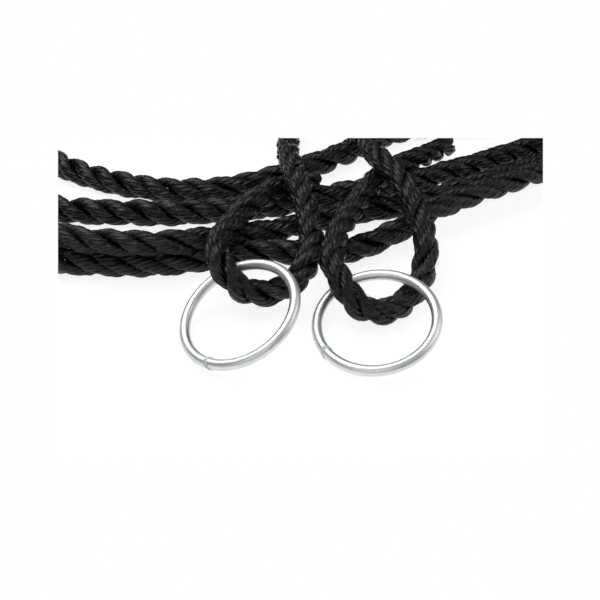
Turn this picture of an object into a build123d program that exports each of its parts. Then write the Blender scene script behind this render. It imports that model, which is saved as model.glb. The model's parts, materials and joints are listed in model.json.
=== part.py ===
"""A climbing net of twisted rope, folded flat: two border ropes that end in ringed eyes, and four rungs.

Millimetres, +Z up. The floor is Z = 0, and the origin lies on it under the middle of the folded net.
The border ropes run back from their rings, and are wound into two oval coils behind the folded rungs.
A rung is tucked through a border rope once in each turn of its coil, so the rungs stack up turn by turn.
"""

from build123d import *

import math
import os

# Driving dimensions
rope_diameter = 14.0
ring_wire = 6.0
ring_inside = 60.0
turn_rise = 14.4  # from one turn of a coil, or one stacked rung, to the next
rung_count = 4
coil_bend = 42.0  # radius of a coil's round ends, at the rope's centreline
coil_straight = 50.0  # length of a coil's straight sides
coil_middle_y = 128.0
left_coil_x = -49.0
right_coil_x = 91.0
coil_edge = 5.0  # rounding of a coil's outer edges
arc_share = 0.45  # how much of the shorter run beside it an arc takes up

# Where each ring lies: its middle, and the direction that its flat side faces
left_ring_middle = (-33.2, -166.6, 16.4)
left_ring_facing = (-0.37, -0.161, 0.915)
right_ring_middle = (41.8, -166.6, 10.5)
right_ring_facing = (-0.17, -0.15, 0.974)


def level(turn):
    """Height of the rope's centreline in one turn of a coil, counted from 1 on the floor."""
    return rope_diameter / 2 + turn_rise * (turn - 1)


def lifted(places, height):
    """The same places on the floor plan, all at one height."""
    return [(x, y, height) for x, y in places]


# Rope routes. Every rung starts and ends alike, in line with its turn of the coils.
rung_left_end = [(-52, 137), (-78, 138.5), (-110, 138), (-146, 137), (-173, 124), (-190, 100), (-197, 70)]
rung_right_end = [(197, 111), (180, 131), (154, 140), (128, 138.5), (103, 140), (79, 138)]

rung_middles = [
    [
        (-195, 38, 7), (-180, 9, 7), (-149, -14, 7), (-110, -30, 7), (-71, -36, 7), (-34, -28, 7),
        (-2, -11.5, 7), (26, 2, 7), (62, 30, 7), (95, 43, 7), (130, 44, 7), (164, 46, 7), (188, 61, 7),
        (200, 85, 7),
    ],
    [
        (-200, 44, 21.4), (-203, 16, 21.4), (-202, -10, 20.5), (-197, -31, 15.5), (-181, -47, 9.5),
        (-155, -58, 7), (-122, -60, 7), (-85, -60.5, 7), (-50, -58, 7), (-16, -52.5, 7), (18, -44, 7),
        (52, -35, 7), (88, -22, 7), (121, -7, 7), (152, 8, 7), (174, 19, 8), (190, 33, 12),
        (200, 53, 18.5), (204, 73, 21.4), (203, 93, 21.4),
    ],
    [
        (-201, 44, 35.8), (-204, 18, 35.8), (-205, -8, 35.8), (-203, -34, 32), (-194, -58, 21),
        (-174, -77, 11), (-150, -87, 7), (-122, -94, 7), (-92, -95, 7), (-62, -93, 7), (-40, -86.5, 7),
        (-10, -80, 7), (14, -68, 7), (36, -60, 7), (62, -55, 7), (94, -48, 7), (121, -32, 7),
        (150, -18, 7), (170, -8, 8), (188, 5, 15.5), (201, 27, 25), (206, 52, 33.5), (206, 74, 35.8),
        (203, 94, 35.8),
    ],
    [
        (-200, 42, 50.2), (-202, 14, 50.2), (-205, -15, 50.2), (-206, -43, 44), (-203, -71, 32),
        (-192, -94, 19), (-171, -108, 9), (-145, -111, 7), (-115, -113, 7), (-86, -114, 7),
        (-58, -108.5, 7), (-30, -101.5, 7), (0, -102, 7), (24, -102.5, 7), (46, -93, 7), (64, -82, 10),
        (86, -65, 15.5), (116, -48, 16), (146, -32, 16), (166, -23, 18), (185, -12, 24), (202, 9, 33),
        (207, 35, 44), (208, 60, 50), (206, 86, 50.2),
    ],
]

# The border ropes, from the cut end that is tucked through the standing part, round the eye, to the coil
left_border_route = [
    (14, -50, 23.5), (-8, -55, 24), (-25, -71, 23), (-39, -91, 22), (-47, -110, 24), (-48, -128, 29),
    (-43, -146, 28), (-33, -150.5, 13.5), (-18, -144.5, 8.5), (-6, -144, 17), (2, -133, 22),
    (6, -114, 22), (6, -94, 22), (3.5, -73, 22), (0, -52, 22), (-4, -31, 22), (-6, -10, 22),
    (-7, 14, 19.5), (-8, 40, 11), (-7, 66, 7), (-7, 90, 7),
]
right_border_route = [
    (110, 16, 9), (90, 1, 13), (73, -18, 20), (58, -37, 22), (44, -55, 22), (32, -77, 22),
    (23.5, -100, 22), (20, -120, 22.5), (20.5, -137, 23.5), (27, -152, 19), (38, -156, 7.5),
    (53, -150.5, 7), (66, -139, 7), (74, -124, 10), (77, -110, 21), (74, -94, 27), (72, -76, 27),
    (66, -54, 24), (56, -36, 22), (50, -16, 22), (49, 8, 22), (49, 33, 20.5), (48, 56, 11), (49, 76, 7),
    (49, 96, 7),
]
# The corner of each border route before which its two sweeps are joined, at the bottom of the eye
left_eye_corner = 8
right_eye_corner = 11


def arc_radii(route):
    """For each corner of a route, the largest arc that leaves room for the arcs beside it."""
    places = [Vector(*place) for place in route]
    radii = []
    for before, corner, after in zip(places, places[1:], places[2:]):
        turn = math.radians((corner - before).get_angle(after - corner))
        shorter = min((corner - before).length, (after - corner).length)
        radii.append(arc_share * shorter / math.tan(turn / 2))
    return radii


def rope(label, route, eye_corner=None):
    """A round rope along a route. One with an eye is two sweeps, joined before its eye_corner."""
    radii = arc_radii(route)
    stretches = [(route, radii)]
    if eye_corner:
        joined_at = (Vector(*route[eye_corner - 1]) + Vector(*route[eye_corner])) / 2
        stretches = [
            (route[:eye_corner] + [joined_at], radii[: eye_corner - 1]),
            ([joined_at] + route[eye_corner:], radii[eye_corner - 1 :]),
        ]
    length = 0
    with BuildPart() as solid:
        for places, arcs in stretches:
            with BuildLine():
                path = FilletPolyline(*places, radius=arcs)
            with BuildSketch(Plane(origin=path @ 0, z_dir=path % 0)):
                Circle(rope_diameter / 2)
            sweep(path=path)
            length += path.length
    solid.part.label = label
    export_step(solid.part, f"parts/{label}.step")
    share = solid.part.volume / (math.pi * rope_diameter**2 / 4 * length)
    print(f"{label}: {length:.0f} mm long, volume {share:.4f} of its section times its length")
    print(f"  arc radii {', '.join(f'{radius:.0f}' for radius in radii)}")


def ring(label, middle, facing):
    """A welded ring of round wire that lies in its eye."""
    wire_middle = (ring_inside + ring_wire) / 2
    flat = Plane(origin=middle, z_dir=facing)
    with BuildPart() as solid:
        with BuildSketch(Plane(origin=flat.origin, x_dir=flat.x_dir, z_dir=-flat.y_dir)):
            with Locations((wire_middle, 0)):
                Circle(ring_wire / 2)
        revolve(axis=Axis(flat.origin, flat.z_dir))
    solid.part.label = label
    export_step(solid.part, f"parts/{label}.step")
    print(f"{label}: lowest point {solid.part.bounding_box().min.Z:.2f}")


def coil(label, middle_x):
    """The outer shape of a border rope's turns, which lie on top of each other."""
    height = level(rung_count) + rope_diameter / 2
    with BuildPart() as solid:
        with BuildSketch():
            with Locations((middle_x, coil_middle_y)):
                SlotCenterToCenter(coil_straight, 2 * coil_bend + rope_diameter, rotation=90)
                hole_width = 2 * coil_bend - rope_diameter
                SlotCenterToCenter(coil_straight, hole_width, rotation=90, mode=Mode.SUBTRACT)
        extrude(amount=height)
        fillet(solid.faces().filter_by(Axis.Z).edges(), radius=coil_edge)
    solid.part.label = label
    export_step(solid.part, f"parts/{label}.step")
    print(f"{label}: {height:.1f} mm high")


os.makedirs("parts", exist_ok=True)

ring("left_ring", left_ring_middle, left_ring_facing)
ring("right_ring", right_ring_middle, right_ring_facing)
rope("left_border_rope", left_border_route, eye_corner=left_eye_corner)
rope("right_border_rope", right_border_route, eye_corner=right_eye_corner)
coil("left_border_coil", left_coil_x)
coil("right_border_coil", right_coil_x)
for number, middle in enumerate(rung_middles, start=1):
    height = level(number)
    route = lifted(rung_left_end, height) + middle + lifted(rung_right_end, height)
    rope(f"rung_{number}", route)
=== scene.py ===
# %% [markdown]
# # A cargo climbing net, folded flat
# The net has two border ropes, which each end in an eye round a steel hanging ring, and four rungs.
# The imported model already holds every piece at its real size. What it lacks is the look of laid
# rope: it has plain round tubes, and one plain block for each coil. So the rings keep their shape
# and get a finish, and each rope is laid again here from three strands of twisted yarn.

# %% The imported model
import json
import math

import bpy
import numpy as np
from mathutils import Matrix, Vector


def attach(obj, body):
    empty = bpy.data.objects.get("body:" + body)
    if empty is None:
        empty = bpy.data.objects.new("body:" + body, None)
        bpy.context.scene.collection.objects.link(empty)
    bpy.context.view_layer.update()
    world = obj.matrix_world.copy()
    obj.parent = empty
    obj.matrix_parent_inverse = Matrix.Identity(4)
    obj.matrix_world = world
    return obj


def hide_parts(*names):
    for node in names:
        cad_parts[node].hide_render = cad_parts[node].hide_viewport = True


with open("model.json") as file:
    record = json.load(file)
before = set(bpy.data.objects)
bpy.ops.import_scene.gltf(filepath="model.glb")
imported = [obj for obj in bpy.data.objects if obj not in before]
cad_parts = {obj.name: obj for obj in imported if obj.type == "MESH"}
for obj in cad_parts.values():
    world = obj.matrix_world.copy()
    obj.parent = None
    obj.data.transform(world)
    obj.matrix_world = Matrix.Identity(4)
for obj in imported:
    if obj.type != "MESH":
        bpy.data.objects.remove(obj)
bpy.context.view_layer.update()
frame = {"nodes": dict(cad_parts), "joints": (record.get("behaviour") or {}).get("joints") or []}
bpy.ops.object.select_all(action="DESELECT")

# %% [markdown]
# ## The camera
# A camera is aimed by its direction: it looks along its own -Z, so the turn from the lens to the
# place aimed at is enough. It stands 42 degrees above the floor, in front of the two rings.

# %% Camera
aim_at = Vector((0, -0.138, 0))
camera_distance = 0.485
camera_elevation = math.radians(42)
towards_camera = Vector((0, -math.cos(camera_elevation), math.sin(camera_elevation)))

bpy.ops.object.camera_add(location=aim_at + towards_camera * camera_distance)
camera = bpy.context.object
camera.rotation_mode = "QUATERNION"
camera.rotation_quaternion = (-towards_camera).to_track_quat("-Z", "Y")
camera.data.lens = 50
camera.data.sensor_width = 36
camera.data.clip_start = 0.01
bpy.context.scene.camera = camera
print("camera at", [round(v, 3) for v in camera.location])

# %% [markdown]
# ## Shader maths as plain expressions
# A material is a graph of nodes. To keep sums readable, a small class wraps an output socket and
# adds a Math node for each operator, so `1 - mask * 0.5` builds two nodes. The `Finish` class holds
# one material's graph. Its `node` method makes any other node and gives one of its outputs, and
# `raw` gives the node itself, for when more outputs are wanted.

# %% Sums on sockets
class Wire:
    """An output socket that can be used in sums."""

    def __init__(self, finish, socket):
        self.finish = finish
        self.socket = socket

    def math(self, operation, *values):
        return self.finish.node("ShaderNodeMath", {"operation": operation}, dict(enumerate(values)))

    def __add__(self, other):
        return self.math("ADD", self, other)

    def __sub__(self, other):
        return self.math("SUBTRACT", self, other)

    def __rsub__(self, other):
        return self.math("SUBTRACT", other, self)

    def __mul__(self, other):
        return self.math("MULTIPLY", self, other)

    def __pow__(self, other):
        return self.math("POWER", self, other)

    __radd__ = __add__
    __rmul__ = __mul__

    def highest(self, other):
        return self.math("MAXIMUM", self, other)

    def angle_over(self, other):
        return self.math("ARCTAN2", self, other)

    def clamped(self):
        return self.finish.node("ShaderNodeClamp", {}, {0: self})


# %% Graphs of nodes
class Finish:
    """One material or world, and its graph of nodes."""

    def __init__(self, owner):
        self.owner = owner
        owner.use_nodes = True
        self.tree = owner.node_tree
        self.tree.nodes.clear()

    def raw(self, kind, settings=None, inputs=None):
        made = self.tree.nodes.new(kind)
        for name, value in (settings or {}).items():
            setattr(made, name, value)
        for name, value in (inputs or {}).items():
            if isinstance(value, Wire):
                self.tree.links.new(value.socket, made.inputs[name])
            else:
                made.inputs[name].default_value = value
        return made

    def node(self, kind, settings=None, inputs=None, output=0):
        return Wire(self, self.raw(kind, settings, inputs).outputs[output])

    def ramp(self, factor, stops):
        made = self.raw("ShaderNodeValToRGB", {}, {0: factor})
        elements = made.color_ramp.elements
        elements[0].position, elements[0].color = stops[0]
        elements[1].position, elements[1].color = stops[-1]
        for place, colour in stops[1:-1]:
            elements.new(place).color = colour
        return Wire(self, made.outputs[0])

    def noise(self, vector, scale, detail=2.0, roughness=0.5):
        inputs = {"Vector": vector, "Scale": scale, "Detail": detail, "Roughness": roughness}
        return self.node("ShaderNodeTexNoise", {}, inputs)

    def blend(self, factor, first, second):
        inputs = {0: factor, 6: first, 7: second}
        return self.node("ShaderNodeMix", {"data_type": "RGBA"}, inputs, output=2)

    def finish_with(self, shader, target="ShaderNodeOutputMaterial"):
        self.raw(target, {}, {0: shader})


def grey(brightness, warmth=0.0):
    """A grey, which can be a little warm."""
    return (brightness * (1 + warmth), brightness, brightness * (1 - warmth), 1)


# %% [markdown]
# ## Floor, window and light
# The floor of a light tent is so pale that it turns white, and only the soft shadows show. Here it
# is a matt white floor with some glow of its own, for what the camera sees and the metal mirrors.
# A white card with a window stands close in front of the lens and frames the net, as the mount of
# a picture does. It is staging, like the floor. Only the camera sees it, and only from its front,
# and it hides what lies outside its window: the coils and the far runs of the ropes.

# %% Floor
floor_size = 12
floor_gap = 0.0002
floor_glow_share = 0.75
floor_glow = 1.135
glow_colour = (1, 0.996, 0.994, 1)
bpy.ops.mesh.primitive_plane_add(size=floor_size, location=(0, 0, -floor_gap))
floor = bpy.context.object
floor.name = "floor"
floor_finish = Finish(bpy.data.materials.new("matt_white_floor"))
path = floor_finish.raw("ShaderNodeLightPath")
seen = Wire(floor_finish, path.outputs["Is Camera Ray"])
seen = seen.highest(Wire(floor_finish, path.outputs["Is Glossy Ray"]))
seen = seen.highest(Wire(floor_finish, path.outputs["Is Transmission Ray"]))
matt = floor_finish.node("ShaderNodeBsdfDiffuse", {}, {"Color": grey(0.86)})
glow = floor_finish.node(
    "ShaderNodeEmission", {}, {"Color": glow_colour, "Strength": floor_glow}
)
floor_finish.finish_with(
    floor_finish.node("ShaderNodeMixShader", {}, {0: seen * floor_glow_share, 1: matt, 2: glow})
)
floor.data.materials.append(floor_finish.owner)

# %% Window card in front of the lens
card_distance = 0.02
card_size = 0.018
card_border = 0.002
window_size = (0.01164, 0.007728)
window_shift = (0.000012, 0.000024)
bpy.ops.mesh.primitive_plane_add(size=card_size)
card = bpy.context.object
card.name = "window_card"
bpy.ops.object.mode_set(mode="EDIT")
bpy.ops.mesh.inset(thickness=card_border)
bpy.ops.object.mode_set(mode="OBJECT")
for corner in card.data.vertices:
    if max(abs(corner.co.x), abs(corner.co.y)) < card_size / 2 - card_border / 4:
        corner.co.x = math.copysign(window_size[0] / 2, corner.co.x) + window_shift[0]
        corner.co.y = math.copysign(window_size[1] / 2, corner.co.y) + window_shift[1]
bpy.ops.object.mode_set(mode="EDIT")
bpy.ops.mesh.delete(type="ONLY_FACE")
bpy.ops.object.mode_set(mode="OBJECT")
card.rotation_mode = "QUATERNION"
card.rotation_quaternion = camera.rotation_quaternion
card.location = camera.location - towards_camera * card_distance
card.visible_diffuse = card.visible_glossy = False
card.visible_transmission = card.visible_shadow = False
card_finish = Finish(bpy.data.materials.new("white_card"))
behind = Wire(card_finish, card_finish.raw("ShaderNodeNewGeometry").outputs["Backfacing"])
white = card_finish.node("ShaderNodeEmission", {}, {"Color": grey(1.0), "Strength": 1.0})
clear = card_finish.node("ShaderNodeBsdfTransparent")
card_finish.finish_with(
    card_finish.node("ShaderNodeMixShader", {}, {0: behind, 1: white, 2: clear})
)
card.data.materials.append(card_finish.owner)
print("window card faces:", len(card.data.polygons))


# %% Lamps and world
def softbox(name, place, size, power, aim=(0, -0.08, 0)):
    """A square area lamp that faces the net."""
    bpy.ops.object.light_add(type="AREA", location=place)
    lamp = bpy.context.object
    lamp.name = name
    lamp.data.size = size
    lamp.data.energy = power
    lamp.rotation_mode = "QUATERNION"
    lamp.rotation_quaternion = (Vector(aim) - Vector(place)).to_track_quat("-Z", "Y")


softbox("key_softbox", (-0.35, 0.25, 0.75), 0.7, 5)
softbox("right_softbox", (0.75, -0.1, 0.55), 0.6, 1.6)
softbox("front_softbox", (-0.25, -0.95, 0.65), 0.9, 1.6)

world = bpy.data.worlds.new("pale_studio")
bpy.context.scene.world = world
studio = Finish(world)
direction = Wire(studio, studio.raw("ShaderNodeTexCoord").outputs["Generated"])
upwards = Wire(studio, studio.raw("ShaderNodeSeparateXYZ", {}, {0: direction}).outputs[2])
walls = studio.ramp(
    upwards, [(0.0, grey(0.3)), (0.12, grey(0.2)), (0.45, grey(0.25)), (1.0, grey(0.42))]
)
rays = studio.raw("ShaderNodeLightPath")
by_camera = Wire(studio, rays.outputs["Is Camera Ray"])
by_gloss = Wire(studio, rays.outputs["Is Glossy Ray"])
by_gloss = by_gloss.highest(Wire(studio, rays.outputs["Is Transmission Ray"]))
room_colour = studio.blend(by_gloss, grey(0.45), walls)
room_colour = studio.blend(by_camera, room_colour, grey(1.0))
studio.finish_with(
    studio.node("ShaderNodeBackground", {}, {"Color": room_colour, "Strength": 1.0}),
    "ShaderNodeOutputWorld",
)
bpy.context.scene.view_settings.view_transform = "Standard"

# %% [markdown]
# ## The ropes' routes
# A limp rope lies in smooth curves. A NURBS spline is made for that: it is pulled towards each of
# its control points and never kinks. Its points start from those of the plain tubes. Many are moved
# by up to 14 mm, to follow the real ropes more closely, and the left part of rung 3 by up to 24 mm,
# because here it lies on rung 4. Each border rope is one rope from its cut tail, round its eye and
# back into its coil, so the turns of the coil are more points of the same spline, worked out by a
# loop.

# %% Heights of the turns
rope_diameter = 0.014
turn_rise = 0.0144
rung_count = 4


def turn_height(turn):
    """Height of the rope's middle in one turn of a coil, counted from 1 on the floor."""
    return rope_diameter / 2 + turn_rise * (turn - 1)


def lifted(places, height):
    """The same places on the floor plan, all at one height."""
    return [(x, y, height) for x, y in places]


# %% Control points of the rungs
rung_left_end = [
    (-0.052, 0.137), (-0.078, 0.1385), (-0.11, 0.138), (-0.146, 0.137), (-0.173, 0.124),
    (-0.19, 0.1), (-0.197, 0.07),
]
rung_right_end = [
    (0.197, 0.111), (0.18, 0.131), (0.154, 0.14), (0.128, 0.1385), (0.103, 0.14), (0.079, 0.138),
]
rung_middles = [
    [
        (-0.195, 0.036, 0.007), (-0.18, 0.005, 0.007), (-0.149, -0.018, 0.007),
        (-0.11, -0.033, 0.007), (-0.071, -0.039, 0.007), (-0.034, -0.031, 0.007),
        (-0.002, -0.0125, 0.007), (0.026, 0.004, 0.007), (0.06, 0.035, 0.007),
        (0.095, 0.048, 0.007), (0.13, 0.05, 0.007), (0.164, 0.051, 0.007), (0.188, 0.063, 0.007),
        (0.2, 0.085, 0.007),
    ],
    [
        (-0.2, 0.044, 0.0214), (-0.203, 0.016, 0.0214), (-0.202, -0.01, 0.0205),
        (-0.197, -0.031, 0.0155), (-0.181, -0.049, 0.0095), (-0.155, -0.0598, 0.007),
        (-0.122, -0.0614, 0.007), (-0.085, -0.0622, 0.007), (-0.05, -0.0592, 0.007),
        (-0.016, -0.0525, 0.007), (0.018, -0.044, 0.007), (0.052, -0.035, 0.007),
        (0.088, -0.022, 0.007), (0.121, -0.0062, 0.007), (0.152, 0.0104, 0.007),
        (0.174, 0.021, 0.008), (0.19, 0.033, 0.012), (0.2, 0.053, 0.0185), (0.204, 0.073, 0.0214),
        (0.203, 0.093, 0.0214),
    ],
    [
        (-0.201, 0.044, 0.0358), (-0.204, 0.018, 0.0358), (-0.205, -0.008, 0.0358),
        (-0.203, -0.034, 0.0335), (-0.194, -0.0625, 0.0275), (-0.173, -0.088, 0.0225),
        (-0.148, -0.1035, 0.0218), (-0.12, -0.112, 0.0225), (-0.0905, -0.1135, 0.0225),
        (-0.064, -0.1072, 0.0191), (-0.041, -0.0905, 0.0096), (-0.01, -0.08, 0.007),
        (0.014, -0.068, 0.007), (0.036, -0.06, 0.007), (0.062, -0.055, 0.007),
        (0.094, -0.0438, 0.007), (0.121, -0.028, 0.007), (0.15, -0.0145, 0.007),
        (0.17, -0.006, 0.008), (0.188, 0.005, 0.0155), (0.201, 0.027, 0.025),
        (0.206, 0.052, 0.0335), (0.206, 0.074, 0.0358), (0.203, 0.094, 0.0358),
    ],
    [
        (-0.2, 0.042, 0.0502), (-0.202, 0.014, 0.0502), (-0.205, -0.015, 0.0502),
        (-0.206, -0.043, 0.044), (-0.203, -0.071, 0.032), (-0.192, -0.094, 0.019),
        (-0.171, -0.108, 0.009), (-0.145, -0.111, 0.007), (-0.115, -0.113, 0.007),
        (-0.086, -0.114, 0.007), (-0.058, -0.1085, 0.007), (-0.03, -0.1015, 0.007),
        (0, -0.102, 0.007), (0.024, -0.1025, 0.007), (0.046, -0.093, 0.007), (0.064, -0.082, 0.01),
        (0.086, -0.067, 0.0155), (0.116, -0.0512, 0.016), (0.146, -0.0352, 0.016),
        (0.166, -0.026, 0.018), (0.185, -0.013, 0.024), (0.202, 0.009, 0.033),
        (0.207, 0.035, 0.044), (0.208, 0.06, 0.05), (0.206, 0.086, 0.0502),
    ],
]

# %% Control points of the border ropes
left_border_route = [
    (0.0135, -0.0405, 0.0145), (-0.01, -0.044, 0.0165), (-0.025, -0.063, 0.0205),
    (-0.038, -0.084, 0.0215), (-0.0465, -0.109, 0.024), (-0.048, -0.128, 0.029),
    (-0.0435, -0.1425, 0.0285), (-0.033, -0.147, 0.014), (-0.018, -0.1425, 0.0085),
    (-0.004, -0.1445, 0.017), (0.0045, -0.133, 0.022), (0.007, -0.114, 0.022),
    (0.006, -0.094, 0.0225), (0.003, -0.073, 0.0265), (-0.0035, -0.052, 0.0305),
    (-0.0075, -0.031, 0.0295), (-0.008, -0.01, 0.0235), (-0.0075, 0.014, 0.0195),
    (-0.008, 0.04, 0.011), (-0.007, 0.066, 0.007), (-0.007, 0.09, 0.007),
]
right_border_route = [
    (0.1062, 0.0175, 0.009), (0.09, -0.0005, 0.013), (0.0735, -0.0165, 0.0165),
    (0.0585, -0.027, 0.0175), (0.046, -0.048, 0.0195), (0.0345, -0.072, 0.0215),
    (0.025, -0.094, 0.022), (0.0188, -0.116, 0.0225), (0.0188, -0.137, 0.0235),
    (0.0262, -0.154, 0.019), (0.039, -0.1592, 0.0075), (0.0545, -0.1525, 0.007),
    (0.066, -0.14, 0.007), (0.073, -0.125, 0.01), (0.075, -0.11, 0.021), (0.071, -0.094, 0.027),
    (0.0685, -0.076, 0.028), (0.0645, -0.0565, 0.03), (0.0525, -0.039, 0.0315),
    (0.0468, -0.018, 0.0275), (0.0472, 0.008, 0.022), (0.049, 0.033, 0.0205), (0.048, 0.056, 0.011),
    (0.049, 0.076, 0.007), (0.049, 0.096, 0.007),
]

# %% The turns of a coil
coil_bend = 0.042
coil_straight = 0.05
coil_middle_y = 0.128
straight_steps = 3
bend_steps = 8
ramp_share = 0.85  # how much of the front bend the rope takes to climb to the next turn
last_bend_share = 0.55  # how much of the front bend the rope still covers in its last turn


def coil_turns(middle_x, side):
    """Control points up a coil, which starts on the side towards the other coil.

    The side is 1 where that is the right-hand side, and -1 where it is the left-hand side.
    """
    front = coil_middle_y - coil_straight / 2
    back = coil_middle_y + coil_straight / 2
    pulled_out = coil_bend / math.cos(math.pi / bend_steps / 2)
    places = []
    for turn in range(1, rung_count + 1):
        height = turn_height(turn)
        for step in range(straight_steps):
            along = coil_straight * (step + 0.5) / straight_steps - coil_straight / 2
            places.append((middle_x + side * coil_bend, coil_middle_y + along, height))
        for step in range(bend_steps):
            angle = math.pi * (step + 0.5) / bend_steps
            x = middle_x + side * pulled_out * math.cos(angle)
            places.append((x, back + pulled_out * math.sin(angle), height))
        for step in range(straight_steps):
            along = coil_straight / 2 - coil_straight * (step + 0.5) / straight_steps
            places.append((middle_x - side * coil_bend, coil_middle_y + along, height))
        for step in range(bend_steps):
            share = (step + 0.5) / bend_steps
            if turn == rung_count and share > last_bend_share:
                break
            angle = math.pi * share
            climb = turn_rise * min(share / ramp_share, 1) if turn < rung_count else 0
            x = middle_x - side * pulled_out * math.cos(angle)
            places.append((x, front - pulled_out * math.sin(angle), height + climb))
    return places


# %% Smooth lines
curve_steps = 10
front_ends_at = 0.04
fine_step = 0.0017
coarse_step = 0.0031


def smooth_line(name, control_points):
    """The points of the NURBS curve of the third order that the control points pull."""
    curve = bpy.data.curves.new(name, "CURVE")
    curve.dimensions = "3D"
    curve.resolution_u = curve_steps
    spline = curve.splines.new("NURBS")
    spline.points.add(len(control_points) - 1)
    for point, place in zip(spline.points, control_points):
        point.co = (*place, 1)
    spline.order_u = 3
    spline.use_endpoint_u = True
    holder = bpy.data.objects.new(name, curve)
    bpy.context.scene.collection.objects.link(holder)
    mesh = bpy.data.meshes.new_from_object(holder)
    line = np.array([vertex.co for vertex in mesh.vertices])
    bpy.data.objects.remove(holder)
    bpy.data.meshes.remove(mesh)
    return line


def travelled(line):
    """How far along the line each of its points is."""
    return np.concatenate([[0], np.cumsum(np.linalg.norm(np.diff(line, axis=0), axis=1))])


def evenly(line):
    """The same line, its points a fine step apart in front and a coarse step at the coils."""
    far = travelled(line)
    step = np.where(line[:, 1] < front_ends_at, fine_step, coarse_step)
    counted = np.concatenate([[0], np.cumsum(np.diff(far) / step[1:])])
    marks = np.interp(np.linspace(0, counted[-1], math.ceil(counted[-1]) + 1), counted, far)
    return np.column_stack([np.interp(marks, far, line[:, axis]) for axis in range(3)])


# %% The lines of the six ropes
left_coil_x = -0.049
right_coil_x = 0.091
border_control = {
    "left_border": left_border_route + coil_turns(left_coil_x, 1),
    "right_border": right_border_route + coil_turns(right_coil_x, -1),
}
lines = {}
for name, control in border_control.items():
    lines[name] = evenly(smooth_line(name, control))
for number, middle in enumerate(rung_middles, start=1):
    height = turn_height(number)
    control = lifted(rung_left_end, height) + middle + lifted(rung_right_end, height)
    lines[f"rung_{number}"] = evenly(smooth_line(f"rung_{number}", control))
for name, line in lines.items():
    print(name, "is", round(travelled(line)[-1], 3), "m long")

# %% [markdown]
# ## Laid rope
# Three strands wind round each other to the right, one turn in 45 to 59 mm. The yarns of a strand
# wind the other way, which keeps the rope from untwisting, so on its surface they run nearly along
# the rope. Each strand is a tube whose middle follows a helix round the rope's line. Its section is
# a little wider than high, because the strands press each other flat, and it has a ridge for each
# yarn. To wind a helix round a bent line, each point of the line needs two directions across it.

# %% Frames along a line
def unit(vectors):
    """The same directions, each of length 1."""
    return vectors / np.linalg.norm(vectors, axis=-1, keepdims=True)


def carried_frames(line):
    """The tangent and two normals at each point, carried along with no twist of their own."""
    tangent = unit(np.gradient(line, axis=0))
    normal = np.empty_like(tangent)
    start = np.cross(tangent[0], (0.0, 0.0, 1.0))
    normal[0] = start / np.linalg.norm(start)
    for i in range(1, len(line)):
        carried = normal[i - 1] - tangent[i] * (normal[i - 1] @ tangent[i])
        normal[i] = carried / np.linalg.norm(carried)
    return tangent, normal, np.cross(tangent, normal)


# %% [markdown]
# ## Room for the rings
# Each ring passes through an eye and swings up in it, so its wire must never meet a strand. The
# middle of its wire is a circle. The circle is worked out at rest and then turned about the ring's
# hinge in three steps, up to the joint's limit, and the strands give way to all of them.

# %% The middle lines of the two rings, at rest and swung up
ring_radius = 0.033
ring_seats = {
    "left_ring": ((-0.0332, -0.1666, 0.0164), (-0.37, -0.161, 0.915)),
    "right_ring": ((0.0418, -0.1666, 0.0105), (-0.17, -0.15, 0.974)),
}
swing_stops = (30, 60)


def ring_directions(axis):
    """The level direction across a ring towards +X, the rising one, and its axis."""
    axis = Vector(axis).normalized()
    level_way = axis.cross((0, 0, 1)).normalized()
    if level_way.x < 0:
        level_way = -level_way
    return level_way, axis.cross(level_way), axis


def circle(middle, axis, radius, count=180):
    """Points of a circle that faces along an axis."""
    level_way, rising_way, axis = ring_directions(axis)
    turns = [2 * math.pi * i / count for i in range(count)]
    return np.array([
        Vector(middle) + radius * (level_way * math.cos(turn) + rising_way * math.sin(turn))
        for turn in turns
    ])


ring_circles = [circle(*seat, ring_radius) for seat in ring_seats.values()]
for joint in frame["joints"]:
    at_rest = circle(*ring_seats[joint["child"]], ring_radius)
    hinge = np.array(joint["pos_m"])
    for angle in (*swing_stops, joint["range_deg"][1]):
        turned = np.array(Matrix.Rotation(math.radians(angle), 3, Vector(joint["axis"])))
        ring_circles.append((at_rest - hinge) @ turned.T + hinge)
print("ring places kept clear:", len(ring_circles))

# %% [markdown]
# ## Tucks
# A rung is tucked between the strands of a border rope. There the strands bow out round it, and
# the rung is squeezed a little thinner. So each strand of a border rope is pushed off any rung or
# ring that comes too close. Half of the push is spread along the strand, so that it bows and has no
# step.

# %% Where one rope is tucked through another
tuck_clearance = 0.0062
ring_clearance = 0.0079
squeeze_depth = 0.2
squeeze_reach = 0.009
batch_size = 200
least_gap = 1e-6
spread_share = 0.5
spreading = np.hanning(9)
spreading /= spreading.sum()


def nearest_on(line, points):
    """For each point, the nearest place on the line, looked for in small batches."""
    found = np.empty_like(points)
    for start in range(0, len(points), batch_size):
        batch = points[start:start + batch_size]
        apart = np.linalg.norm(batch[:, None, :] - line[None, :, :], axis=2)
        found[start:start + batch_size] = line[apart.argmin(axis=1)]
    return found


def opened(strand, tucked, clearance):
    """A strand's middle line, pushed aside where a rope or a ring passes beside it."""
    away = strand - nearest_on(tucked, strand)
    gap = np.linalg.norm(away, axis=1, keepdims=True)
    push = np.maximum(clearance - gap, 0)
    shift = away / np.maximum(gap, least_gap) * push
    spread = [np.convolve(shift[:, axis], spreading, "same") for axis in range(3)]
    kept = np.where(push > 0, shift * (1 - spread_share), 0)
    return strand + kept + np.column_stack(spread) * spread_share


def squeezed(line, holders):
    """How thick the rope is at each point, where other ropes grip it."""
    thick = np.ones(len(line))
    for holder in holders:
        gap = np.linalg.norm(line - nearest_on(holder, line), axis=1)
        thick -= squeeze_depth * np.exp(-((gap / squeeze_reach) ** 2))
    return np.maximum(thick, 1 - squeeze_depth)


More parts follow.
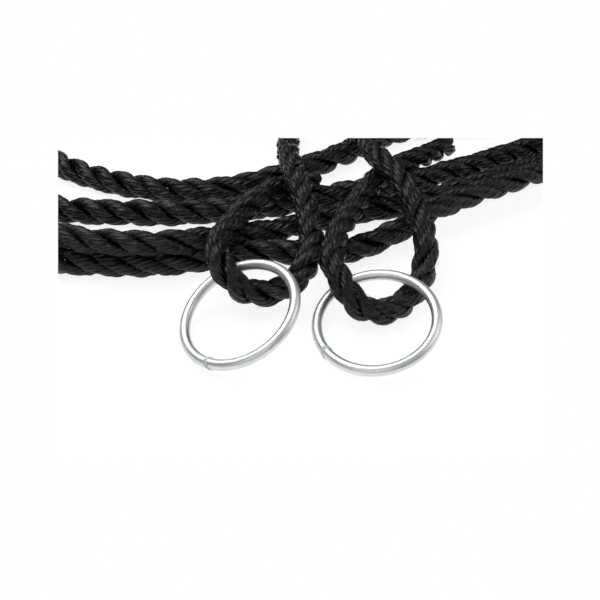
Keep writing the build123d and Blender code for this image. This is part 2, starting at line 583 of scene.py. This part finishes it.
# %% The middle line of a strand
strand_count = 3
strand_offset = 0.0045
turn_waves = ((0.2, 61, 2.3), (0.16, 143, 1))
offset_wave = (0.035, 97, 4)


def wave(far, phase, size, pace, shift):
    """An unevenness along a rope: its size, radians to a metre, and shift between strands."""
    return size * np.sin(far * pace + shift * phase)


def strand_centres(line, frames, lay_length, lay_start, thick, phase):
    """The middle line of one strand, and the direction away from the rope's middle."""
    tangent, normal, side = frames
    far = travelled(line)
    angle = 2 * np.pi * far / lay_length + lay_start + phase
    for turn_wave in turn_waves:
        angle = angle + wave(far, phase, *turn_wave)
    outward = np.cos(angle)[:, None] * normal + np.sin(angle)[:, None] * side
    offset = strand_offset * thick * (1 + wave(far, phase, *offset_wave))
    return line + outward * offset[:, None], outward


# %% The skin of a strand
strand_half_height = 0.0038
strand_half_width = 0.0044
swell_wave = (0.045, 211, 5)
yarns_in_strand = 7
points_on_yarn = 6
yarn_turn_length = 0.0195
yarn_relief = 0.0006
ridge_shape = 0.7
yarn_waves = ((420, 2.4, 1), (250, 4.1, 2))  # radians to a metre, and shifts by yarn and strand
ridge_wander = 0.3
skin_wander = 0.45
strand_columns = yarns_in_strand * points_on_yarn
column_yarn = np.arange(strand_columns) / points_on_yarn
column_ridge = np.abs(np.cos(np.pi * column_yarn)) ** ridge_shape - 1
nearest_yarn = np.floor(column_yarn + 0.5) % yarns_in_strand


def strand_surface(centres, outward, far, thick, phase):
    """Rows of points round one strand. Each column of points stays on its yarn as it winds."""
    along = unit(np.gradient(centres, axis=0))
    outward = unit(outward - along * np.sum(outward * along, axis=1, keepdims=True))
    sideways = np.cross(along, outward)
    angle = 2 * np.pi * (column_yarn / yarns_in_strand - far[:, None] / yarn_turn_length)
    angle = angle + phase
    swell = 1 + wave(far, phase, *swell_wave)[:, None]
    wander = sum(
        np.sin(far[:, None] * pace + nearest_yarn * yarn_shift + strand_shift * phase)
        for pace, yarn_shift, strand_shift in yarn_waves
    )
    relief = yarn_relief * (column_ridge * (1 + ridge_wander * wander) + skin_wander * wander)
    high = strand_half_height * swell * thick[:, None] + relief
    wide = strand_half_width * swell * thick[:, None] + relief
    rows = (
        centres[:, None, :]
        + outward[:, None, :] * (high * np.cos(angle))[:, :, None]
        + sideways[:, None, :] * (wide * np.sin(angle))[:, :, None]
    )
    rows[:, :, 2] = np.maximum(rows[:, :, 2], 0)
    return rows


# %% Cut ends
cut_rounding = 0.003
cut_fullness = 0.12  # the square of how full a strand still is at its very end


def rounded_ends(far):
    """How full a strand is along its length: it is rounded off where the rope was cut."""
    from_end = np.minimum(far, far[-1] - far) / cut_rounding
    return np.sqrt(np.maximum(1 - (1 - np.minimum(from_end, 1)) ** 2, cut_fullness))


# %% [markdown]
# ## Stray fibres
# Handled rope is hairy with broken fibres. Each is a closed tube of three sides that tapers to a
# tip. Its root lies just under the skin of a strand, where that strand stands proudest, so that
# none floats. Where it starts and how it lies is drawn by chance, with its own seed for each rope,
# so the rope comes out the same each time. A fibre that a ring would brush as it swings, or that
# would reach far from the rope, is left out.

# %% Fibres
fibre_spacing = 0.009
fibre_reach = (0.003, 0.007)
fibre_lift = (0.0006, 0.0014)
fibre_crest = 0.9  # a root lies where its strand has at least this share of its full height
fibre_root_depth = 0.0003
fibre_limit = 0.0105
fibre_radius = 0.00013
fibre_taper = 0.6
fibre_lean = 0.6
fibre_arch = 2.1  # how far along the arch of a sine wave a fibre goes, in radians
fibre_sides = 3
fibre_steps = 5
fibre_clearance = 0.0042
rows_off_the_ends = 8
ring_places = np.vstack(ring_circles)


def stray_fibres(line, tangent, strands, seed):
    """The points of each fibre on a rope, ring by ring from its root to its tip."""
    chance = np.random.default_rng(seed)
    tubes = []
    for _ in range(int(travelled(line)[-1] / fibre_spacing)):
        i = chance.integers(rows_off_the_ends, len(line) - rows_off_the_ends)
        skin = strands[chance.integers(strand_count)][i]
        heights = np.linalg.norm(skin - line[i], axis=1)
        crest = np.flatnonzero(heights > fibre_crest * heights.max())
        spot = skin[crest[chance.integers(len(crest))]]
        outward = unit(spot - line[i])
        sideways = np.cross(tangent[i], outward)
        root = spot - outward * fibre_root_depth
        direction = chance.choice((-1, 1))
        lean = unit(tangent[i] * direction + sideways * chance.uniform(-fibre_lean, fibre_lean))
        reach = chance.uniform(*fibre_reach)
        lift = chance.uniform(*fibre_lift)
        across = np.cross(lean, outward)
        tube = []
        for step in range(fibre_steps):
            share = step / fibre_steps
            middle = root + lean * reach * share + outward * lift * math.sin(fibre_arch * share)
            for corner in range(fibre_sides):
                angle = 2 * math.pi * corner / fibre_sides
                spread = outward * math.cos(angle) + across * math.sin(angle)
                tube.append(middle + spread * fibre_radius * (1 - fibre_taper * share))
        tube.append(root + lean * reach + outward * lift * math.sin(fibre_arch))
        tube = np.array(tube)
        tube[:, 2] = np.maximum(tube[:, 2], fibre_radius)
        from_rings = np.linalg.norm(tube - nearest_on(ring_places, tube), axis=1)
        from_line = np.linalg.norm(tube - nearest_on(line, tube), axis=1)
        if from_rings.min() > fibre_clearance and from_line.max() < fibre_limit:
            tubes.append(tube.tolist())
    return tubes


# %% [markdown]
# ## From points to a rope
# The points of three strands and of the fibres are joined to faces of one mesh. Each corner of a
# face also gets its place on the lay map, a UV map that the finish reads. U counts the yarns round
# a strand, and V the centimetres along it. The strands are far apart in U, so no two look the same.

# %% Faces of strands and fibres
map_per_metre = 100
strands_apart_on_map = 4.0
end_map = (0.0, 0.0)
fibre_map = (0.3, 0.4)


class Skin:
    """The corners, faces and lay map of one rope, gathered until its mesh is made."""

    def __init__(self):
        self.places, self.faces, self.lay_map = [], [], []

    def add_places(self, places):
        """Adds corners, and tells the number of the first."""
        first = len(self.places)
        self.places.extend(places)
        return first

    def add_face(self, corners, map_places):
        self.faces.append(corners)
        self.lay_map.extend(map_places)

    def add_strand(self, rows, centres, far, strand_number):
        """A strand's skin, and at each cut end a fan of faces to its middle."""
        first = self.add_places(rows.reshape(-1, 3).tolist())
        last = first + (len(rows) - 1) * strand_columns
        columns = [(j, (j + 1) % strand_columns) for j in range(strand_columns)]
        map_start = strands_apart_on_map * yarns_in_strand * strand_number
        for i, row in enumerate(range(first, last, strand_columns)):
            above = row + strand_columns
            v, next_v = far[i] * map_per_metre, far[i + 1] * map_per_metre
            for j, k in columns:
                u = map_start + j / points_on_yarn
                next_u = u + 1 / points_on_yarn
                corners = (row + j, row + k, above + k, above + j)
                self.add_face(corners, ((u, v), (next_u, v), (next_u, next_v), (u, next_v)))
        tip = self.add_places([centres[0].tolist()])
        for j, k in columns:
            self.add_face((first + k, first + j, tip), [end_map] * 3)
        tip = self.add_places([centres[-1].tolist()])
        for j, k in columns:
            self.add_face((last + j, last + k, tip), [end_map] * 3)

    def add_fibre(self, tube):
        """A fibre's sides, its tip and its closed root."""
        first = self.add_places(tube)
        tip = first + len(tube) - 1
        last = tip - fibre_sides
        sides = [(j, (j + 1) % fibre_sides) for j in range(fibre_sides)]
        for row in range(first, last, fibre_sides):
            above = row + fibre_sides
            for j, k in sides:
                self.add_face((row + j, row + k, above + k, above + j), [fibre_map] * 4)
        for j, k in sides:
            self.add_face((last + j, last + k, tip), [fibre_map] * 3)
        self.add_face(tuple(first + j for j in reversed(range(fibre_sides))), [fibre_map] * 3)

    def made_into_piece(self, name):
        """A smooth mesh piece with the lay map."""
        mesh = bpy.data.meshes.new(name)
        mesh.from_pydata(self.places, [], self.faces)
        lay_map = np.array(self.lay_map, dtype=np.float32).ravel()
        mesh.uv_layers.new(name="Lay").data.foreach_set("uv", lay_map)
        mesh.shade_smooth()
        piece = bpy.data.objects.new(name, mesh)
        bpy.context.scene.collection.objects.link(piece)
        return piece


# %% One rope
def lay_rope(name, line, lay, tucked=(), holders=(), seed=1):
    """One piece: three strands along a line. Ropes tucked through it part its strands."""
    lay_length, lay_start, fullness = lay
    frames = carried_frames(line)
    far = travelled(line)
    thick = fullness * squeezed(line, holders)
    skin = Skin()
    strands = []
    for strand_number in range(strand_count):
        phase = strand_number * 2 * math.pi / strand_count
        centres, outward = strand_centres(line, frames, lay_length, lay_start, thick, phase)
        for other, clearance in tucked:
            centres = opened(centres, other, clearance)
        rows = strand_surface(centres, outward, far, thick * rounded_ends(far), phase)
        skin.add_strand(rows, centres, far, strand_number)
        strands.append(rows)
    for tube in stray_fibres(line, frames[0], strands, seed):
        skin.add_fibre(tube)
    return skin.made_into_piece(name)


# %% [markdown]
# ## Black rope finish
# The yarns are bundles of fine black fibres. They are nearly black, and shine a little where they
# bend over the strands. Fine lines along each yarn come from noise that is stretched along the lay.
# The base colour has light flecks, placed by chance, which are painted glints.

# %% Rope finish
rope_finish = Finish(bpy.data.materials.new("black_laid_yarn"))
on_lay_map = rope_finish.node("ShaderNodeUVMap", {"uv_map": "Lay"})
map_axes = rope_finish.raw("ShaderNodeSeparateXYZ", {}, {0: on_lay_map})
yarn_across = Wire(rope_finish, map_axes.outputs[0])
yarn_along = Wire(rope_finish, map_axes.outputs[1])


def lay_noise(across, along, layer, detail, roughness=0.5):
    """Noise stretched along the yarns: so many cells across a yarn and along a centimetre."""
    place = rope_finish.node(
        "ShaderNodeCombineXYZ", {}, {0: yarn_across * across, 1: yarn_along * along, 2: layer}
    )
    return rope_finish.noise(place, 1.0, detail, roughness)


fibres = lay_noise(across=4.0, along=3.0, layer=0.0, detail=2.0, roughness=0.6)
crinkle = lay_noise(across=1.5, along=3.6, layer=7.0, detail=2.0, roughness=0.55)
patches = lay_noise(across=1.0, along=0.5, layer=3.0, detail=1.0)
# Painted glints: the lightest flecks of the rope's base colour stand in for glints, over the yarns'
# own tone, which varies by chance.
kept_dark = 0.62  # taken off the sum of the three, so that only the lightest yarn shines
yarn_tone_and_glint_mask = (crinkle * 0.8 + fibres * 0.5 + patches * 0.8 - kept_dark).clamped()
yarn_colour_and_painted_glints = rope_finish.ramp(
    yarn_tone_and_glint_mask, [(0.1, grey(0.0008)), (0.5, grey(0.004, 0.04)), (0.9, grey(0.035, 0.08))]
)
fibre_relief = fibres * 0.4 + crinkle * 0.6
yarn_bump = rope_finish.node(
    "ShaderNodeBump", {}, {"Strength": 1.0, "Distance": 0.001, "Height": fibre_relief}
)
rope_finish.finish_with(
    rope_finish.node(
        "ShaderNodeBsdfPrincipled",
        {},
        {
            "Base Color": yarn_colour_and_painted_glints,
            "Roughness": fibres * 0.3 + 0.08,
            "Specular IOR Level": 0.26,
            "Normal": yarn_bump,
        },
    )
)

# %% Lay every rope
# For each rope: the length of one turn of its strands, the turn it starts at, and how full it is.
rope_lays = {
    "left_border": (0.045, 0.4, 0.93), "right_border": (0.045, 2.1, 0.93),
    "rung_1": (0.053, 0.0, 1.04), "rung_2": (0.052, 1.3, 1.04),
    "rung_3": (0.059, 1.7, 0.98), "rung_4": (0.055, 2.6, 0.98),
}
rung_names = [f"rung_{number}" for number in range(1, rung_count + 1)]
gripping_stretch = (0.2, 1)  # the stretch of a border rope that runs past the rungs


def cut(line, start, end):
    """The stretch of a line between two distances along it."""
    far = travelled(line)
    return line[(far >= start) & (far <= end)]


stands = [cut(lines[border], *gripping_stretch) for border in border_control]
for seed, (name, line) in enumerate(lines.items(), start=1):
    if name in rung_names:
        piece = lay_rope(f"{name}_laid", line, rope_lays[name], holders=stands, seed=seed)
        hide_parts(name)
    else:
        tucked = [(lines[rung], tuck_clearance) for rung in rung_names]
        tucked += [(ring_circle, ring_clearance) for ring_circle in ring_circles]
        piece = lay_rope(f"{name}_laid", line, rope_lays[name], tucked=tucked, seed=seed)
        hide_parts(f"{name}_rope", f"{name}_coil")
    piece.data.materials.append(rope_finish.owner)
    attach(piece, "net")
    print(piece.name, sum(len(face.vertices) - 2 for face in piece.data.polygons), "triangles")

# %% [markdown]
# ## Zinc-plated rings
# The rings are bent from round wire, welded shut and plated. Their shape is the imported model's.
# Drawing the wire has left faint lines along it, so the pattern follows the ring: it is measured
# from the ring's axis, along that axis, and by the turn round it.

# %% Ring finish
drawn_lines = 1500.0  # how many lines to a metre across the wire
lines_round_ring = 2.5
cloudiness = 140.0
graininess = 1500.0


def zinc_plate(name, middle, axis):
    """Satin zinc with the faint lines of drawn wire."""
    finish = Finish(bpy.data.materials.new(f"zinc_plate_{name}"))
    level_way, rising_way, axis = ring_directions(axis)
    spot = finish.node("ShaderNodeTexCoord", output=3)
    subtract, dot = {"operation": "SUBTRACT"}, {"operation": "DOT_PRODUCT"}
    from_middle = finish.node("ShaderNodeVectorMath", subtract, {0: spot, 1: middle})
    sideways, upwards, outwards = [
        finish.node("ShaderNodeVectorMath", dot, {0: from_middle, 1: way}, output=1)
        for way in (level_way, rising_way, axis)
    ]
    from_axis = (sideways * sideways + upwards * upwards) ** 0.5
    turn = upwards.angle_over(sideways)
    along_wire = finish.node(
        "ShaderNodeCombineXYZ",
        {},
        {0: from_axis * drawn_lines, 1: outwards * drawn_lines, 2: turn * lines_round_ring},
    )
    lines_drawn = finish.noise(along_wire, 1.0, 3.0, 0.6)
    clouds = finish.noise(spot, cloudiness, 3.0)
    shade = lines_drawn * 0.6 + clouds * 0.4
    dull, plain, bright = (0.58, 0.62, 0.62, 1), (0.72, 0.75, 0.745, 1), (0.83, 0.85, 0.845, 1)
    zinc = finish.ramp(shade, [(0.3, dull), (0.5, plain), (0.7, bright)])
    relief = lines_drawn + finish.noise(spot, graininess, 2.0) * 0.5
    plate_bump = finish.node(
        "ShaderNodeBump", {}, {"Strength": 0.2, "Distance": 0.0002, "Height": relief}
    )
    finish.finish_with(
        finish.node(
            "ShaderNodeBsdfPrincipled",
            {},
            {
                "Base Color": zinc,
                "Metallic": 1.0,
                "Roughness": shade * 0.3 + 0.26,
                "Normal": plate_bump,
            },
        )
    )
    return finish.owner


for name, seat in ring_seats.items():
    ring = frame["nodes"][name]
    ring.data.materials.clear()
    ring.data.materials.append(zinc_plate(name, *seat))
    for face in ring.data.polygons:
        face.use_smooth = True

# %% [markdown]
# Each ring is closed by a butt weld. What shows of it is a pale seam that runs round the wire with
# a slant, and two low ridges where the ends were pressed together. A torus that fits the wire makes
# one ridge, and a copy moved along the wire makes the other.

# %% Weld finish
weld_graininess = 900.0
greenish, pale = (0.42, 0.5, 0.47, 1), (0.86, 0.93, 0.89, 1)
weld_finish = Finish(bpy.data.materials.new("pale_weld"))
weld_spot = weld_finish.node("ShaderNodeTexCoord", output=3)
weld_grain = weld_finish.noise(weld_spot, weld_graininess, 3.0, 0.6)
weld_colour = weld_finish.ramp(weld_grain, [(0.3, greenish), (0.7, pale)])
weld_bump = weld_finish.node(
    "ShaderNodeBump", {}, {"Strength": 0.5, "Distance": 0.0002, "Height": weld_grain}
)
weld_finish.finish_with(
    weld_finish.node(
        "ShaderNodeBsdfPrincipled",
        {},
        {
            "Base Color": weld_colour,
            "Metallic": 0.7,
            "Roughness": weld_grain * 0.3 + 0.3,
            "Normal": weld_bump,
        },
    )
)

# %% Weld seams
wire_radius = 0.003
weld_turns = {"left_ring": math.radians(-52.5), "right_ring": math.radians(-98.6)}
weld_slant = math.radians(28)
ridge_radius = 0.00045
ridges_apart = 0.0012
ridge_unevenness = 0.03
waves_round_wire = 5
wave_slant = 900  # how far the waves turn to a metre along the wire, in radians
for name, (middle, axis) in ring_seats.items():
    level_way, rising_way, axis = ring_directions(axis)
    turn = weld_turns[name]
    outwards = level_way * math.cos(turn) + rising_way * math.sin(turn)
    along = rising_way * math.cos(turn) - level_way * math.sin(turn)
    bpy.ops.object.select_all(action="DESELECT")
    bpy.ops.mesh.primitive_torus_add(
        major_radius=wire_radius, minor_radius=ridge_radius, major_segments=40, minor_segments=8
    )
    weld = bpy.context.object
    weld.name = f"{name}_weld"
    bpy.ops.object.mode_set(mode="EDIT")
    bpy.ops.mesh.duplicate_move(TRANSFORM_OT_translate={"value": (0, 0, ridges_apart)})
    bpy.ops.object.mode_set(mode="OBJECT")
    for corner in weld.data.vertices:
        around_wire = math.atan2(corner.co.y, corner.co.x)
        corner.co.z += math.tan(weld_slant) * corner.co.y - ridges_apart / 2
        uneven = math.sin(waves_round_wire * around_wire + wave_slant * corner.co.z)
        swell = 1 + ridge_unevenness * uneven
        corner.co.x *= swell
        corner.co.y *= swell
    weld.rotation_mode = "QUATERNION"
    turned = Matrix((outwards, along.cross(outwards), along)).transposed()
    weld.rotation_quaternion = turned.to_quaternion()
    weld.location = Vector(middle) + outwards * ring_radius
    bpy.ops.object.transform_apply(location=True, rotation=True, scale=True)
    for corner in weld.data.vertices:
        corner.co.z = max(corner.co.z, 0)
    weld.data.shade_smooth()
    weld.data.materials.append(weld_finish.owner)
    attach(weld, name)
    print(weld.name, "at", [round(v, 4) for v in Vector(middle) + outwards * ring_radius])
